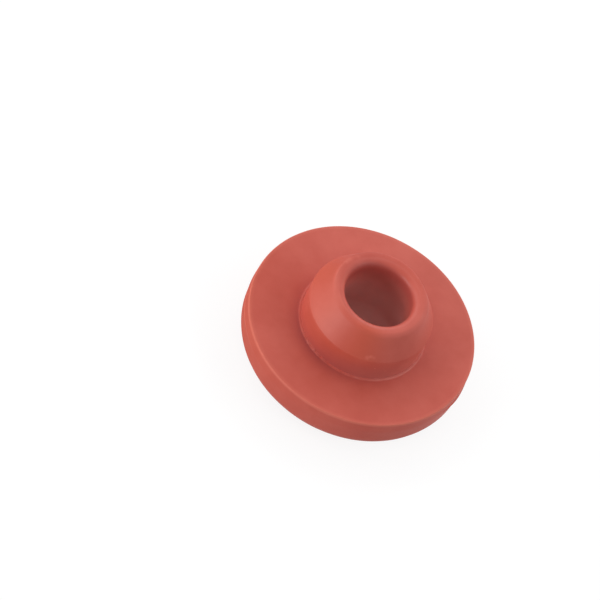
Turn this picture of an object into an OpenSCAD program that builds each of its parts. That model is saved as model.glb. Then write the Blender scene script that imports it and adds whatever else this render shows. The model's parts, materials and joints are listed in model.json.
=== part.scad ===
// Flanged rubber stopper: a wide domed-edge flange with a short hollow plug.
// It stands head-down. The ring on the crown touches z = 0, +Z is the axis of
// revolution and the plug's mouth faces up. Millimetres.

/* [Flange] */
// Diameter at the parting line, without its flash
flange_d = 35.3; // [35.2:0.1:38]
// Diameter where the side meets the sealing face
seal_d = 35.1; // [32:0.1:35.2]
// Thickness between the crown and the sealing face
flange_t = 6.75; // [6:0.05:8]
// Height of the parting line above the crown
parting_h = 4.95; // [4:0.05:5.4]
// Diameter of the flat crown
crown_d = 28.7; // [24:0.1:31]
// Diameter where the shoulder runs into the side
shoulder_d = 35.05; // [34:0.05:35.2]
// Height of the shoulder above the crown
shoulder_h = 2.5; // [2:0.05:3.6]
// Outward bulge of the shoulder's curve from its straight chord
shoulder_bulge = 0.72; // [0.2:0.02:0.8]
// Rounding of the edge of the sealing face
seal_edge_r = 0.2; // [0.05:0.05:0.4]
// How far the moulding flash stands out along the parting line
flash_w = 0.08; // [0.02:0.01:0.2]
// Height of the flash at its foot
flash_t = 0.2; // [0.1:0.05:0.4]

/* [Crown ring] */
// Outer diameter of the raised ring at its foot
ring_d = 9.2; // [7:0.1:12]
// Width of the ring at its foot
ring_w = 1.6; // [1:0.1:3]
// Width of each sloping flank of the ring
ring_flank_w = 0.4; // [0:0.05:0.45]
// Height of the ring
ring_h = 0.2; // [0.05:0.05:0.5]

/* [Plug] */
// Diameter of the straight neck
plug_d = 19.1; // [17:0.1:21]
// Length of the straight neck
neck_h = 4.4; // [3:0.1:6]
// Diameter of the nose at its end, before rounding
nose_d = 14.7; // [13.8:0.1:16]
// Length of the tapered nose
nose_h = 4; // [2.5:0.1:5.5]
// Rounding of the nose's outer edge
nose_edge_r = 1; // [0.1:0.05:1.2]

/* [Hollow] */
// Diameter of the hollow
bore_d = 10.5; // [9:0.1:11]
// Depth of the hollow from the end of the nose
bore_depth = 12.5; // [8:0.1:13.5]
// Rounding of the hollow's mouth
mouth_r = 1; // [0.2:0.05:1.1]
// Rounding at the bottom of the hollow
floor_r = 3; // [0.5:0.1:4]

/* [Hidden] */

turn_fn = 96;  // facets around the axis
round_fn = 32; // facets around each small rounding
bulge_fn = 96; // facets around the shoulder's large circle

nose_end = flange_t + neck_h + nose_h; // height of the nose's end above the crown

crown_edge = [crown_d / 2, 0];
shoulder_foot = [shoulder_d / 2, shoulder_h];
flash_low = [flange_d / 2, parting_h - flash_t / 2];
flash_tip = [flange_d / 2 + flash_w, parting_h];
flash_high = [flange_d / 2, parting_h + flash_t / 2];
seal_edge = [seal_d / 2, flange_t];
seal_root = [plug_d / 2, flange_t];
neck_top = [plug_d / 2, flange_t + neck_h];
nose_edge = [nose_d / 2, nose_end];
nose_axis = [0, nose_end];

// Direction from one point towards another.
function way(from, to) = (to - from) / norm(to - from);

// Half of the angle at corner b between its neighbours a and c.
function half_angle(a, b, c) = acos(way(b, a) * way(b, c)) / 2;

// Where a rounding of radius r touches the side that runs from corner b to a.
function touch(a, b, c, r) = b + way(b, a) * r / tan(half_angle(a, b, c));

// Centre of a rounding of radius r at corner b.
function round_centre(a, b, c, r) =
    let (inward = way(b, a) + way(b, c))
    b + inward / norm(inward) * r / sin(half_angle(a, b, c));

// The shoulder's circle passes through both ends of its chord.
chord = shoulder_foot - crown_edge;
bulge_r = (norm(chord) ^ 2 / 4 + shoulder_bulge ^ 2) / (2 * shoulder_bulge);
bulge_out = [chord.y, -chord.x] / norm(chord);
bulge_centre = crown_edge + chord / 2 - bulge_out * (bulge_r - shoulder_bulge);

// Half section of the flange, crown at y = 0, with the flash of the mould's
// parting line as a low ridge around its side.
module flange_section() {
    polygon([
        [0, 0], crown_edge, shoulder_foot, flash_low, flash_tip, flash_high,
        touch(flash_high, seal_edge, seal_root, seal_edge_r),
        touch(seal_root, seal_edge, flash_high, seal_edge_r),
        [0, flange_t]
    ]);
    translate(round_centre(flash_high, seal_edge, seal_root, seal_edge_r))
        circle(seal_edge_r, $fn = round_fn);
    intersection() {
        translate(crown_edge) square(chord);
        translate(bulge_centre) circle(bulge_r, $fn = bulge_fn);
    }
}

// Half section of the solid plug: straight neck, then a tapered nose.
module plug_section() {
    polygon([
        [0, 0], [plug_d / 2, 0], neck_top,
        touch(neck_top, nose_edge, nose_axis, nose_edge_r),
        touch(nose_axis, nose_edge, neck_top, nose_edge_r),
        nose_axis
    ]);
    translate(round_centre(neck_top, nose_edge, nose_axis, nose_edge_r))
        circle(nose_edge_r, $fn = round_fn);
}

// Half section of the blind hollow, with its flared mouth and rounded floor.
module hollow_section() {
    bore_r = bore_d / 2;
    floor_y = nose_end - bore_depth;
    mouth_y = nose_end - mouth_r;
    // straight wall, which runs out past the end of the nose
    translate([0, floor_y + floor_r])
        square([bore_r, bore_depth - floor_r + mouth_r]);
    // floor, with its corner rounded
    translate([0, floor_y])
        square([bore_r - floor_r, bore_depth]);
    translate([bore_r - floor_r, floor_y + floor_r])
        circle(floor_r, $fn = round_fn);
    // flare of the mouth
    difference() {
        translate([0, mouth_y])
            square([bore_r + mouth_r, 2 * mouth_r]);
        translate([bore_r + mouth_r, mouth_y])
            circle(mouth_r, $fn = round_fn);
    }
}

// Half section of the low ring on the crown, with sloping flanks.
module crown_ring_section() {
    outer = ring_d / 2;
    inner = outer - ring_w;
    polygon([
        [inner, 0], [inner + ring_flank_w, -ring_h],
        [outer - ring_flank_w, -ring_h], [outer, 0]
    ]);
}

// The whole moulding, in one piece.
module stopper() {
    color("indianred")
        translate([0, 0, ring_h])
            rotate_extrude($fn = turn_fn)
                difference() {
                    union() {
                        flange_section();
                        plug_section();
                        crown_ring_section();
                    }
                    hollow_section();
                }
}

stopper();
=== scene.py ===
import json
import math

import bmesh
import bpy
from mathutils import Matrix, Quaternion, Vector, noise


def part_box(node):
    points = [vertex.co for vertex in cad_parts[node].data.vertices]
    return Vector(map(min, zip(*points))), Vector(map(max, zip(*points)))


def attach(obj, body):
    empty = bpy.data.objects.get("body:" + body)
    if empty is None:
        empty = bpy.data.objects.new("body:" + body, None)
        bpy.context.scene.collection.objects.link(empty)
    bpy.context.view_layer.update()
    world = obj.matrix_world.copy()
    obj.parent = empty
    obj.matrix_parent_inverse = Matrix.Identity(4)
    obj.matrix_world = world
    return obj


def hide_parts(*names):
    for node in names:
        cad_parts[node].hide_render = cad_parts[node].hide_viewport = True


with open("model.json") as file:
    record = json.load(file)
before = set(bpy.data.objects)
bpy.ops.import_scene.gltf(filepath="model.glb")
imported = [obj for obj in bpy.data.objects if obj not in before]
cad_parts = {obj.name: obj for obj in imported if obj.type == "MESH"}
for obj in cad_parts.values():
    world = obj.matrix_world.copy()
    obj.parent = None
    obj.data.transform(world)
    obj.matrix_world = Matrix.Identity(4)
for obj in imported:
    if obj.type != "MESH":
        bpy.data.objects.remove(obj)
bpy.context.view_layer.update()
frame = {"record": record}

# ---------------------------------------------------------------------------
# The stopper
# One solid moulding of filled red rubber, pressed and cured in a two-part mould:
# a domed flange, and a hollow plug that gives in the neck of a bottle. The mould's
# joints leave thin flash around the side of the flange and the root of the plug.
# ---------------------------------------------------------------------------
MM = 0.001

mounts = {mount["name"]: mount for mount in frame["record"]["mounts"]}
neck = mounts["neck_plug"]
hollow = mounts["hollow"]
neck_r = neck["dims"]["r_mm"]
neck_top = neck["pos_m"][2] / MM + neck["dims"]["length_mm"] / 2
seal_z = mounts["sealing_face"]["pos_m"][2] / MM
hollow_r = hollow["dims"]["r_mm"]
wall_low = hollow["pos_m"][2] / MM - hollow["dims"]["length_mm"] / 2
wall_high = hollow["pos_m"][2] / MM + hollow["dims"]["length_mm"] / 2
cad_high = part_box("stopper")[1]
flash_r = cad_high.x / MM
end_z = cad_high.z / MM
mouth_rounding = end_z - wall_high

# crown, with the low ring that the stopper stands on
RING_H = 0.2
RING_INNER_R = 3.0
RING_OUTER_R = 4.6
RING_FLANK = 0.4
RING_ROUNDING = 0.15
CROWN_R = 14.35
# domed shoulder: an arc that leaves the crown flat and meets the side
SHOULDER_R = 17.525
SHOULDER_Z = 2.7
# side, parting flash and the edge of the sealing face
SIDE_R = 17.65
PARTING_Z = 5.15
PARTING_HALF = 0.1
FLASH_ROUNDING = 0.03
SEAL_EDGE_R = 17.55
SEAL_ROUNDING = 0.2
# rim of flash around the root of the plug, a fin close to the neck
FIN_FOOT = 0.45
FIN_FOOT_ROUNDING = 0.05
FIN_TIP = 0.2
FIN_TIP_ROUNDING = 0.25
FIN_H = 0.15
FIN_BACK_H = 0.7 * FIN_H
FIN_BACK_ROUNDING = 0.03
# plug
NECK_ROUNDING = 0.3
NOSE_R = 7.4
NOSE_ROUNDING = 1.0
FLOOR_ROUNDING = 3.0
# how finely the moulding is divided, and how near two points are joined into one
TURN_STEPS = 400
SHOULDER_STEPS = 12
CORNER_STEPS = 8
ROW_STEP = 0.5
JOIN = 0.001


def add_outline(mesh, corners, points, start=None):
    """Draw part of the half section through (radius, height, rounding)."""
    last = start
    for radius, height, rounding in points:
        vert = mesh.verts.new((radius * MM, 0, height * MM))
        if last:
            mesh.edges.new((last, vert))
        corners[vert] = rounding
        last = vert
    return last


def round_corner(mesh, vert, rounding):
    """Swap a corner of the half section for an arc that touches both sides."""
    sides = [edge.other_vert(vert).co - vert.co for edge in vert.link_edges]
    reach = rounding * MM / math.tan(sides[0].angle(sides[1]) / 2)
    bmesh.ops.bevel(mesh, geom=[vert], offset=reach, offset_type="OFFSET",
                    segments=CORNER_STEPS, profile=0.5, affect="VERTICES", material=-1)


moulding = bmesh.new()
corners = {}
crown_edge = add_outline(moulding, corners, [
    (0, RING_H, 0),
    (RING_INNER_R, RING_H, RING_ROUNDING),
    (RING_INNER_R + RING_FLANK, 0, RING_ROUNDING),
    (RING_OUTER_R - RING_FLANK, 0, RING_ROUNDING),
    (RING_OUTER_R, RING_H, RING_ROUNDING),
    (CROWN_R, RING_H, 0),
])

# The shoulder's arc is level where it leaves the crown, so its centre stands
# straight over the crown's edge.
shoulder_out = SHOULDER_R - CROWN_R
shoulder_up = SHOULDER_Z - RING_H
shoulder_arc_r = (shoulder_out ** 2 + shoulder_up ** 2) / (2 * shoulder_up)
arc = bmesh.ops.spin(
    moulding, geom=[crown_edge], axis=(0, -1, 0), steps=SHOULDER_STEPS,
    cent=(CROWN_R * MM, 0, (RING_H + shoulder_arc_r) * MM),
    angle=math.atan2(shoulder_out, shoulder_arc_r - shoulder_up))
shoulder_foot = next(item for item in arc["geom_last"] if isinstance(item, bmesh.types.BMVert))

add_outline(moulding, corners, [
    (SIDE_R, PARTING_Z - PARTING_HALF, 0),
    (flash_r, PARTING_Z, FLASH_ROUNDING),
    (SIDE_R, PARTING_Z + PARTING_HALF, 0),
    (SEAL_EDGE_R, seal_z, SEAL_ROUNDING),
    (neck_r + FIN_FOOT, seal_z, FIN_FOOT_ROUNDING),
    (neck_r + FIN_TIP, seal_z + FIN_H, FIN_TIP_ROUNDING),
    (neck_r, seal_z + FIN_BACK_H, FIN_BACK_ROUNDING),
    (neck_r, neck_top, NECK_ROUNDING),
    (NOSE_R, end_z, NOSE_ROUNDING),
    (hollow_r, end_z, mouth_rounding),
    (hollow_r, wall_low - FLOOR_ROUNDING, FLOOR_ROUNDING),
    (0, wall_low - FLOOR_ROUNDING, 0),
], start=shoulder_foot)

for vert, rounding in corners.items():
    if rounding:
        round_corner(moulding, vert, rounding)
for edge in moulding.edges[:]:
    rows = math.ceil(edge.calc_length() / MM / ROW_STEP)
    if rows > 1:
        bmesh.ops.subdivide_edges(moulding, edges=[edge], cuts=rows - 1)
bmesh.ops.spin(moulding, geom=moulding.verts[:] + moulding.edges[:], cent=(0, 0, 0),
               axis=(0, 0, 1), angle=math.tau, steps=TURN_STEPS, use_merge=True)
bmesh.ops.remove_doubles(moulding, verts=moulding.verts, dist=JOIN * MM)
bmesh.ops.recalc_face_normals(moulding, faces=moulding.faces)


def outward(angle):
    """The direction away from the axis at an angle around it."""
    return Vector((math.cos(angle), math.sin(angle), 0))


def around(angle, waves, seed):
    """Noise from -1 to 1 with about that many waves around the axis."""
    reach = waves / math.tau
    return noise.noise(Vector((reach * math.cos(angle), reach * math.sin(angle), seed)))


def near(angle, place):
    """The strength of a place at its bearing, falling smoothly to 0 on both sides."""
    bearing, spread, strength = place
    off = (math.degrees(angle) - bearing + 180) % 360 - 180
    return strength * math.exp(-(off / spread) ** 2)


def between(value, low, high):
    """0 below low, 1 above high, with a smooth step between them."""
    share = min(max((value - low) / (high - low), 0), 1)
    return share * share * (3 - 2 * share)


# A pressed moulding is never as true as its drawing, and it shows how it was
# trimmed, dusted and handled; light and shade are painted on it in places too.
# Each skin is finished in turn below. A place on it is (bearing, spread to both
# sides, strength), with the first two in degrees, and lengths are in millimetres.
# The mesh keeps, at each point from 0 to 1 for the material to read, how pale the rubber is with
# painted highlight, how talced with painted light, how dull, and how much painted shade and painted
# red cast it has.
moulding.normal_update()
pale_and_highlight = moulding.verts.layers.float.new("pale_and_highlight")
talc_and_painted_light = moulding.verts.layers.float.new("talc_and_painted_light")
dull = moulding.verts.layers.float.new("dull")
painted_shade = moulding.verts.layers.float.new("painted_shade")
painted_red_cast = moulding.verts.layers.float.new("painted_red_cast")

# Each point with its distance from the axis, height and angle as drawn, because
# the finishes are laid out on the drawing. NEARLY is the slack for a point that
# lies right on one of its lines.
NEARLY = 0.01
drawn = []
fin_skin = []
plug_skin = []
hollow_skin = []
for vert in moulding.verts:
    radius = vert.co.xy.length / MM
    height = vert.co.z / MM
    point = (vert, radius, height, math.atan2(vert.co.y, vert.co.x))
    drawn.append(point)
    on_mouth = radius < hollow_r + mouth_rounding and height > seal_z
    over_floor = height > wall_low - FLOOR_ROUNDING - NEARLY
    if on_mouth or (over_floor and radius < hollow_r + NEARLY):
        hollow_skin.append(point)
    elif height > seal_z and radius < neck_r + NEARLY:
        plug_skin.append(point)
    elif seal_z < height < seal_z + FIN_H + NEARLY and radius < neck_r + FIN_FOOT:
        fin_skin.append(point)

# every skin: broad unevenness
WAVE = 4
RIPPLE = 1.5
RIPPLE_SHARE = 0.5
UNEVEN = 0.012
for vert in moulding.verts:
    wave = noise.noise(vert.co / (WAVE * MM))
    wave += RIPPLE_SHARE * noise.noise(vert.co / (RIPPLE * MM))
    vert.co += vert.normal * wave * UNEVEN * MM

# parting flash: torn away but for a stretch of the drawn width, pale as thin flash is and
# with a painted highlight on it, and one that stands out twice as far
FLASH_LEFT = (203, 14, 1)
FLASH_STANDS = (352, 9, 2)
FLASH_RAGGED = 0.1
FLASH_PALE_AND_HIGHLIGHT = 0.7
for vert, radius, height, angle in drawn:
    if abs(height - PARTING_Z) < PARTING_HALF and radius > SIDE_R:
        left = near(angle, FLASH_LEFT) + FLASH_RAGGED * around(angle, waves=60, seed=3)
        left = min(max(left, 0), 1)
        vert[pale_and_highlight] = FLASH_PALE_AND_HIGHLIGHT * left
        left += near(angle, FLASH_STANDS)
        vert.co -= outward(angle) * (radius - SIDE_R) * (1 - left) * MM

# flange: satin, duller in places on its side and with a painted red cast on one stretch
# of it, and a painted highlight along the edge around the sealing face
FLANGE_DULL = 0.4
SIDE_DULL = (185, 30, 0.6)
SIDE_RED_CAST = (215, 32, 0.35)
EDGE_HIGHLIGHT = 0.4
flange_high = seal_z + FIN_H + NEARLY
edge_low = seal_z - SEAL_ROUNDING - 0.05
edge_band = (SEAL_EDGE_R - SEAL_ROUNDING - 0.1, SEAL_EDGE_R - 0.05)
side_band = (SEAL_EDGE_R - 0.3, SEAL_EDGE_R)
for vert, radius, height, angle in drawn:
    if height > edge_low:
        vert[pale_and_highlight] = EDGE_HIGHLIGHT * between(radius, *edge_band)
    if height < flange_high:
        vert[dull] = FLANGE_DULL + near(angle, SIDE_DULL)
        # painted red cast: a stronger red on this stretch of the side, for red reflected light
        vert[painted_red_cast] = near(angle, SIDE_RED_CAST) * between(radius, *side_band)

# fin at the root of the plug: ragged, torn in one place and all but gone in
# another, with talc caught on it. Its height is a share of the drawn one.
FIN_KEPT = 0.45
FIN_LEAST = 0.1
FIN_RAGGED = 0.25
FIN_STANDS = (335, 35, 0.5)
FIN_GONE = (269, 14, 0.5)
FIN_TORN = (242, 10, 1)
TEAR_RAGGED = 1.2
FIN_SWAY = 0.03
TEAR_SWAY = 0.1
FIN_DULL = 0.8
FIN_TALC = 0.2
FIN_TALC_UNEVEN = 0.05
FIN_CLEAN = (205, 38, 0.7)
for vert, radius, height, angle in fin_skin:
    torn = near(angle, FIN_TORN)
    stands = FIN_KEPT + FIN_RAGGED * around(angle, waves=90, seed=5) + near(angle, FIN_STANDS)
    stands += TEAR_RAGGED * torn * around(angle, waves=110, seed=6) - near(angle, FIN_GONE)
    stands = min(max(stands, FIN_LEAST), 1)
    sway = outward(angle) * (FIN_SWAY + TEAR_SWAY * torn) * around(angle, waves=110, seed=7)
    vert.co.z -= (height - seal_z) * (1 - stands) * MM
    vert.co += sway * MM
    vert[talc_and_painted_light] = FIN_TALC * stands + FIN_TALC_UNEVEN * around(angle, waves=50, seed=8)
    vert[talc_and_painted_light] *= 1 - near(angle, FIN_CLEAN)
    vert[dull] = FIN_DULL

# sealing face: painted shadow that thins out from the root of the plug, and a trace of talc
ON_FACE = 0.03
AT_ROOT = 0.02
ROOT_SHADED = (236, 48, 1)
FACE_SHADE = 0.15
FACE_ROOT_SHADE = 0.65
SHADE_REACH = 2.5
FACE_TALCED = (95, 70, 0.03)
for vert, radius, height, angle in drawn:
    from_root = radius - neck_r - FIN_FOOT
    if abs(height - seal_z) < ON_FACE and from_root > -AT_ROOT:
        thick = FACE_SHADE + FACE_ROOT_SHADE * near(angle, ROOT_SHADED)
        vert[painted_shade] = thick * (1 - min(max(from_root, 0) / SHADE_REACH, 1)) ** 2
        vert[talc_and_painted_light] = near(angle, FACE_TALCED)

# hollow: its mouth is a little off the axis, and talc lies thicker towards the floor, which
# also paints in light that doesn't reach that deep; painted shade sits in a band inside the
# lip and rises over it on one side, one side of the upper wall has a painted red cast, and a
# painted highlight runs along the crest of the mouth in one stretch. A pair of depths below
# the end of the nose is where a layer sets in and where it is full, or where it starts to
# fade and where it is gone.
MOUTH_SHIFT = 0.1
MOUTH_SHIFT_WAY = math.radians(351)
HOLLOW_TALC_AND_LIGHT = 0.55
HOLLOW_MORE_TALC_AND_LIGHT = (88, 60, 0.45)
WALL_TALC_AND_LIGHT_IN = (1, 9)
FLOOR_TALC_AND_LIGHT_IN = (9, 11)
HOLLOW_DULL = 0.6
HOLLOW_DULL_IN = (0.3, 1.5)
MOUTH_DULL = (190, 50, 1)
LIP_SHADED = (133, 45, 1)
LIP_SHADE = 0.28
BAND_SHADE = 0.5
BAND_RISE = 0.3
BAND_IN = (0.25, 0.9)
BAND_OUT = (1.5, 5)
HOLLOW_RED_CAST = (8, 38, 0.5)
HOLLOW_CAST_IN = (0.5, 1.2)
HOLLOW_CAST_OUT = (3, 7)
MOUTH_CREST_HIGHLIGHT = (191, 20, 0.2)
CREST_R = hollow_r + 0.45
CREST_HALF = 0.35
for vert, radius, height, angle in hollow_skin:
    depth = end_z - height
    vert.co += outward(MOUTH_SHIFT_WAY) * (MOUTH_SHIFT * between(height, seal_z, end_z)) * MM
    wall_talc_and_light = HOLLOW_TALC_AND_LIGHT + near(angle, HOLLOW_MORE_TALC_AND_LIGHT)
    vert[talc_and_painted_light] = between(depth, *WALL_TALC_AND_LIGHT_IN) * wall_talc_and_light
    vert[talc_and_painted_light] += between(depth, *FLOOR_TALC_AND_LIGHT_IN) * (1 - wall_talc_and_light)
    vert[dull] = HOLLOW_DULL * max(between(depth, *HOLLOW_DULL_IN), near(angle, MOUTH_DULL))
    # painted shade: a band just inside the lip, rising over the lip on one side
    lip = near(angle, LIP_SHADED)
    vert[painted_shade] = BAND_SHADE * (between(depth + BAND_RISE * lip, *BAND_IN) - between(depth, *BAND_OUT))
    vert[painted_shade] += LIP_SHADE * lip * (1 - between(depth, *BAND_IN))
    # painted red cast: a stronger red on one side of the upper wall, where it shows less sheen
    red_cast = between(depth, *HOLLOW_CAST_IN) - between(depth, *HOLLOW_CAST_OUT)
    vert[painted_red_cast] = near(angle, HOLLOW_RED_CAST) * red_cast
    # painted highlight along the crest of the mouth, in one stretch
    crest = 1 - between(abs(radius - CREST_R), 0, CREST_HALF)
    vert[pale_and_highlight] = near(angle, MOUTH_CREST_HIGHLIGHT) * crest * between(height, wall_high, end_z)

# shape of the nose: trimmed on one side, which leaves its edge sharper in one stretch,
# with a painted highlight along it, and dented on another. The depths are in millimetres.
NOSE_TRIMMED = (206, 60, 0.5)
NOSE_DENTED = (51, 25, 0.1)
NOSE_CUT = (183, 22, 1)
CUT_SHARPER = 0.8
CUT_SHARP_REACH = (0.2, 0.6)
CUT_HIGHLIGHT = 0.3
CUT_HIGHLIGHT_REACH = (0.1, 0.7)
nose_side = (neck_top + 0.5, end_z)
nose_end = (hollow_r + 1, NOSE_R - 0.6)
for vert, radius, height, angle in plug_skin:
    loss = near(angle, NOSE_TRIMMED) + near(angle, NOSE_DENTED)
    loss *= between(height, *nose_side) * between(radius, *nose_end)
    vert.co -= outward(angle) * loss * MM
    corner = Vector((NOSE_R - radius, end_z - height))
    sharper = CUT_SHARPER * near(angle, NOSE_CUT) * (1 - between(corner.length, *CUT_SHARP_REACH))
    vert.co += (outward(angle) * corner.x + Vector((0, 0, corner.y))) * sharper * MM
    vert[pale_and_highlight] = CUT_HIGHLIGHT * near(angle, NOSE_CUT) * (1 - between(corner.length, *CUT_HIGHLIGHT_REACH))

# skin of the plug: painted shade and talc towards the root, stretches with a painted red
# cast, stretches worn shiny, and painted shade again at the lip of the hollow
NECK_TALCED = (318, 38, 0.16)
NECK_TALC_LOST = 0.75
NECK_DULL = 0.35
NECK_TOP_DULL = 0.5
NECK_SATIN = (240, 55, 0.6)
NOSE_SATIN = (0, 38, 0.6)
NECK_SHADED = (272, 42, 0.5)
NECK_ROOT_SHADE = 0.35
NECK_RED_CAST = (255, 62, 0.35)
NOSE_RED_CAST = (176, 28, 0.5)
LIP_RED_CAST = (281, 20, 0.5)
NOSE_PALE = (228, 20, 0.17)
neck_shade_out = (seal_z + 1.5, neck_top)
root_shade_out = (seal_z + 0.3, seal_z + 1.8)
nose_in = (neck_top - 0.3, neck_top + 0.2)
lip_in = (end_z - 0.6, end_z - 0.1)
for vert, radius, height, angle in plug_skin:
    up_neck = between(height, seal_z, neck_top)
    up_nose = between(height, neck_top, end_z)
    on_nose = between(height, *nose_in)
    on_lip = between(height, *lip_in)
    vert[talc_and_painted_light] = near(angle, NECK_TALCED) * (1 - NECK_TALC_LOST * up_neck)
    vert[dull] = NECK_DULL + up_neck * (NECK_TOP_DULL - near(angle, NECK_SATIN))
    vert[dull] -= near(angle, NOSE_SATIN) * up_nose
    vert[painted_shade] = near(angle, NECK_SHADED) * (1 - between(height, *neck_shade_out))
    vert[painted_shade] += NECK_ROOT_SHADE * near(angle, ROOT_SHADED) * (1 - between(height, *root_shade_out))
    vert[painted_shade] += LIP_SHADE * near(angle, LIP_SHADED) * up_nose
    # painted red cast on stretches of the nose, the lip and the neck
    red_cast = near(angle, NOSE_RED_CAST) * (1 - on_lip) + near(angle, LIP_RED_CAST)
    vert[painted_red_cast] = on_nose * red_cast + (1 - on_nose) * near(angle, NECK_RED_CAST)
    vert[pale_and_highlight] += near(angle, NOSE_PALE) * on_nose

# the faces that things stand on stay flat
for vert in moulding.verts:
    vert.co.z = min(max(vert.co.z, 0), end_z * MM)

SHARP_OVER = math.radians(32)
stopper_mesh = bpy.data.meshes.new("moulded_stopper")
moulding.to_mesh(stopper_mesh)
moulding.free()
stopper_mesh.shade_smooth()
stopper_mesh.set_sharp_from_angle(angle=SHARP_OVER)
stopper = bpy.data.objects.new("moulded_stopper", stopper_mesh)
bpy.context.scene.collection.objects.link(stopper)


def linear(hex_colour):
    """sRGB hex to the linear colour that a node holds."""
    parts = [int(hex_colour[first:first + 2], 16) / 255 for first in (1, 3, 5)]
    return [part / 12.92 if part <= 0.04045 else ((part + 0.055) / 1.055) ** 2.4
            for part in parts] + [1]


def add_node(tree, kind, inputs=None, **settings):
    """Add a node with its settings; an input is a value or another node's output."""
    made = tree.nodes.new(kind)
    for name, value in settings.items():
        setattr(made, name, value)
    for name, value in (inputs or {}).items():
        if isinstance(value, bpy.types.NodeSocket):
            tree.links.new(value, made.inputs[name])
        else:
            made.inputs[name].default_value = value
    return made


# Red natural rubber with mineral filler, pressed in a plain steel mould: a satin
# skin with a soft highlight, wider where it is dull, and faint blotches where the
# filler is uneven. It is paler where it is thin or scuffed. Highlights are painted
# along some edges and crests, shade at the root of the plug and inside the lip, and a
# stronger red where red light is reflected. Talc keeps the hollow from sticking to its
# core pin, and veils it pink, most of all at the floor, where it also stands in for
# light that doesn't reach that deep.
RUBBER_RED = "#C85E50"
RUBBER_DEEP = "#C25749"
RUBBER_RED_CAST = "#C04D31"
RUBBER_PALE_AND_HIGHLIGHT = "#E98470"
RUBBER_SHADED = "#A04845"
RUBBER_TALCED_AND_LIT = "#E3B5AF"
RUBBER_IOR = 1.52
RUBBER_SHINE = 0.25
SATIN_ROUGHNESS = 0.3
GRAIN_ROUGHNESS = 0.42
DULL_ROUGHER = 0.5
# patches of uneven filler, and the grain of the steel in the skin, which is finer
# on the real one and is drawn coarse enough to show
BLOTCH = 5 * MM
GRAIN = 0.3 * MM
GRAIN_DEPTH = 0.006 * MM
# scuffs: bearing in degrees, distance from the axis, height, size and strength
SCUFFS = [
    (289, 9.3, 11.85, 0.55, 0.5),
    (292, 9.15, 12.1, 0.45, 0.5),
    (295, 9.2, 12.0, 0.4, 0.4),
    (300, 9.55, 9.75, 0.22, 1.0),
    (311, 9.55, 9.1, 0.2, 0.6),
    (156, 6.95, 15.2, 0.8, 0.5),
    (162, 6.9, 15.2, 0.5, 0.5),
    (143, 6.8, 15.3, 0.6, 0.35),
]
# sockets of a Mix node that mixes two colours
SHARE = 0
UNDER = 6
OVER = 7
MIXED = 2

rubber = bpy.data.materials.new("moulded_red_rubber")
rubber.use_nodes = True
tree = rubber.node_tree
skin = tree.nodes["Principled BSDF"]
position = add_node(tree, "ShaderNodeTexCoord").outputs["Object"]
blotch = add_node(tree, "ShaderNodeTexNoise", {
    "Vector": position, "Scale": 1 / BLOTCH, "Detail": 3, "Roughness": 0.6}).outputs["Fac"]
grain = add_node(tree, "ShaderNodeTexNoise", {
    "Vector": position, "Scale": 1 / GRAIN, "Detail": 2, "Roughness": 0.6}).outputs["Fac"]
shares = {}
for name in ("painted_red_cast", "pale_and_highlight", "painted_shade", "talc_and_painted_light", "dull"):
    shares[name] = add_node(tree, "ShaderNodeAttribute", attribute_name=name).outputs["Fac"]

# scuffs are torn along the grain, and add to what is pale already
for bearing, radius, height, size, strength in SCUFFS:
    middle = (outward(math.radians(bearing)) * radius + Vector((0, 0, height))) * MM
    away = add_node(tree, "ShaderNodeVectorMath", {0: position, 1: middle},
                    operation="DISTANCE").outputs["Value"]
    scuff = add_node(tree, "ShaderNodeMapRange", {
        "Value": away, "From Min": size * MM, "From Max": 0, "To Max": strength},
        interpolation_type="SMOOTHSTEP").outputs["Result"]
    torn = add_node(tree, "ShaderNodeMath", {0: scuff, 1: grain}, operation="MULTIPLY").outputs[0]
    shares["pale_and_highlight"] = add_node(tree, "ShaderNodeMath", {0: shares["pale_and_highlight"], 1: torn},
                              operation="ADD", use_clamp=True).outputs[0]

# each finish, and each painted highlight, shade and red cast, lies over the ones before it
body_share = add_node(tree, "ShaderNodeMapRange", {
    "Value": blotch, "From Min": 0.35, "From Max": 0.65}).outputs["Result"]
colour = add_node(tree, "ShaderNodeMix", {
    SHARE: body_share, UNDER: linear(RUBBER_DEEP), OVER: linear(RUBBER_RED)},
    data_type="RGBA").outputs[MIXED]
for name, finish in (("painted_red_cast", RUBBER_RED_CAST), ("pale_and_highlight", RUBBER_PALE_AND_HIGHLIGHT), ("painted_shade", RUBBER_SHADED),
                     ("talc_and_painted_light", RUBBER_TALCED_AND_LIT)):
    colour = add_node(tree, "ShaderNodeMix", {
        SHARE: shares[name], UNDER: colour, OVER: linear(finish)},
        data_type="RGBA").outputs[MIXED]
tree.links.new(colour, skin.inputs["Base Color"])

satin = add_node(tree, "ShaderNodeMapRange", {
    "Value": grain, "To Min": SATIN_ROUGHNESS, "To Max": GRAIN_ROUGHNESS}).outputs["Result"]
roughness = add_node(tree, "ShaderNodeMath", {
    0: shares["dull"], 1: DULL_ROUGHER, 2: satin}, operation="MULTIPLY_ADD").outputs[0]
tree.links.new(roughness, skin.inputs["Roughness"])
bump = add_node(tree, "ShaderNodeBump", {
    "Height": grain, "Distance": GRAIN_DEPTH, "Strength": 0.5}).outputs["Normal"]
tree.links.new(bump, skin.inputs["Normal"])
skin.inputs["IOR"].default_value = RUBBER_IOR
skin.inputs["Specular IOR Level"].default_value = RUBBER_SHINE
stopper_mesh.materials.append(rubber)

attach(stopper, "root")
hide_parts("stopper")

# ---------------------------------------------------------------------------
# Floor
# A plain white board under the stopper. It shows almost white to the camera
# and keeps a soft trace of the shadow.
# ---------------------------------------------------------------------------
FLOOR_HALF = 1.5
# just under the crown's ring, so that the two faces don't share a plane
FLOOR_DROP = 0.02 * MM
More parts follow.
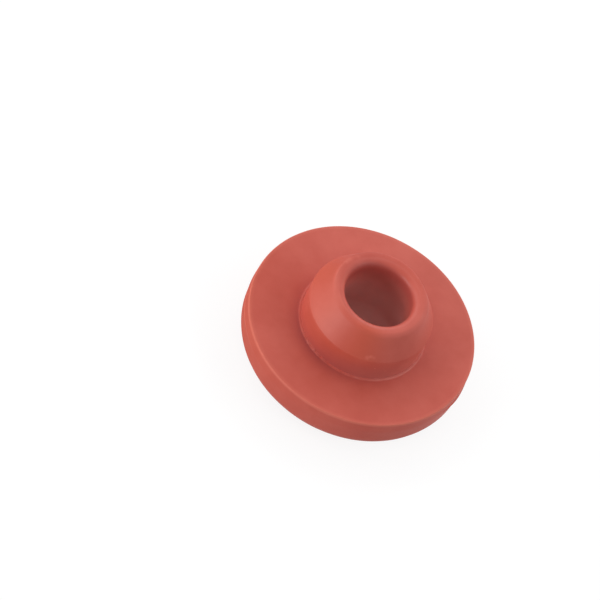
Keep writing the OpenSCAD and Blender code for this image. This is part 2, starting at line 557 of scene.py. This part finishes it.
# what the board throws back at the stopper, and what the camera sees of it
BOARD_GREY = "#BCBCBC"
BOARD_SHADE = "#737373"
BOARD_GLOW = 0.86


def seen_directly(tree):
    """1 for a ray from the camera or one that mirrors or passes glass, 0 for the rest."""
    rays = add_node(tree, "ShaderNodeLightPath").outputs
    share = rays["Is Camera Ray"]
    for kind in ("Is Glossy Ray", "Is Transmission Ray"):
        share = add_node(tree, "ShaderNodeMath", {0: share, 1: rays[kind]},
                         operation="MAXIMUM").outputs[0]
    return share


board = bmesh.new()
bmesh.ops.create_grid(board, x_segments=1, y_segments=1, size=FLOOR_HALF,
                      matrix=Matrix.Translation((0, 0, -FLOOR_DROP)))
floor_mesh = bpy.data.meshes.new("floor")
board.to_mesh(floor_mesh)
board.free()
floor = bpy.data.objects.new("floor", floor_mesh)
bpy.context.scene.collection.objects.link(floor)
board_white = bpy.data.materials.new("white_board")
board_white.use_nodes = True
tree = board_white.node_tree
board_lit = tree.nodes["Principled BSDF"]
board_lit.inputs["Base Color"].default_value = linear(BOARD_GREY)
board_lit.inputs["Roughness"].default_value = 1
board_lit.inputs["Specular IOR Level"].default_value = 0
glow = add_node(tree, "ShaderNodeEmission", {"Strength": BOARD_GLOW}).outputs[0]
shade = add_node(tree, "ShaderNodeBsdfDiffuse", {"Color": linear(BOARD_SHADE)}).outputs[0]
board_seen = add_node(tree, "ShaderNodeAddShader", {0: glow, 1: shade}).outputs[0]
floor_look = add_node(tree, "ShaderNodeMixShader", {
    0: seen_directly(tree), 1: board_lit.outputs[0], 2: board_seen}).outputs[0]
tree.links.new(floor_look, tree.nodes["Material Output"].inputs["Surface"])
floor_mesh.materials.append(board_white)

# ---------------------------------------------------------------------------
# Light
# A white studio: an even dome, a half ring of equal soft boxes from the right
# of the object round its back to the left, and a low one in front, on the left.
# ---------------------------------------------------------------------------
WHITE = "#FFFFFF"
DOME = 0.34
BACKDROP = 1
SOFTBOX_SIZE = 0.35
SOFTBOX_AWAY = 0.6
# bearings and heights in degrees
RING_FROM = 90
RING_TO = 270
RING_STEP = 45
RING_HEIGHT = 35
RING_WATTS = 0.72
FRONT_BEARING = 315
FRONT_HEIGHT = 8
FRONT_WATTS = 2.5

world = bpy.data.worlds.new("studio")
bpy.context.scene.world = world
world.use_nodes = True
tree = world.node_tree
dome = tree.nodes["Background"]
dome.inputs["Color"].default_value = linear(WHITE)
dome.inputs["Strength"].default_value = DOME
backdrop = add_node(tree, "ShaderNodeBackground", {
    "Color": linear(WHITE), "Strength": BACKDROP}).outputs[0]
sky = add_node(tree, "ShaderNodeMixShader", {
    0: seen_directly(tree), 1: dome.outputs[0], 2: backdrop}).outputs[0]
tree.links.new(sky, tree.nodes["World Output"].inputs["Surface"])


def add_softbox(name, bearing, height, watts):
    """A soft box that faces the stopper, placed by its angles in degrees.

    The bearing is counted from the camera's side, towards the right.
    """
    lamp = bpy.data.lights.new(name, "AREA")
    lamp.size = SOFTBOX_SIZE
    lamp.energy = watts
    turn = math.radians(bearing)
    rise = math.radians(height)
    way = Vector((math.sin(turn) * math.cos(rise), -math.cos(turn) * math.cos(rise),
                  math.sin(rise)))
    box = bpy.data.objects.new(name, lamp)
    box.location = way * SOFTBOX_AWAY
    box.rotation_euler = way.to_track_quat("Z", "Y").to_euler()
    bpy.context.scene.collection.objects.link(box)


for bearing in range(RING_FROM, RING_TO + 1, RING_STEP):
    add_softbox(f"ring_{bearing}", bearing, RING_HEIGHT, RING_WATTS)
add_softbox("front_left", FRONT_BEARING, FRONT_HEIGHT, FRONT_WATTS)

# ---------------------------------------------------------------------------
# Camera
# A long lens, looking down on the sealing face and the plug, turned so that
# the plug leans to the right.
# ---------------------------------------------------------------------------
CAMERA_PLACE = Vector((0, -377.4, 491.1)) * MM
CAMERA_AIM = Vector((-9.81, -2.24, 7.5)) * MM
CAMERA_LENS = 248.4
CAMERA_SENSOR = 36
CAMERA_ROLL = math.radians(28.22)

lens = bpy.data.cameras.new("camera")
lens.sensor_width = CAMERA_SENSOR
lens.lens = CAMERA_LENS
camera = bpy.data.objects.new("camera", lens)
look = (CAMERA_AIM - CAMERA_PLACE).to_track_quat("-Z", "Y")
camera.matrix_world = Matrix.LocRotScale(
    CAMERA_PLACE, look @ Quaternion((0, 0, 1), CAMERA_ROLL), None)
bpy.context.scene.collection.objects.link(camera)
bpy.context.scene.camera = camera
bpy.context.scene.view_settings.view_transform = "Standard"
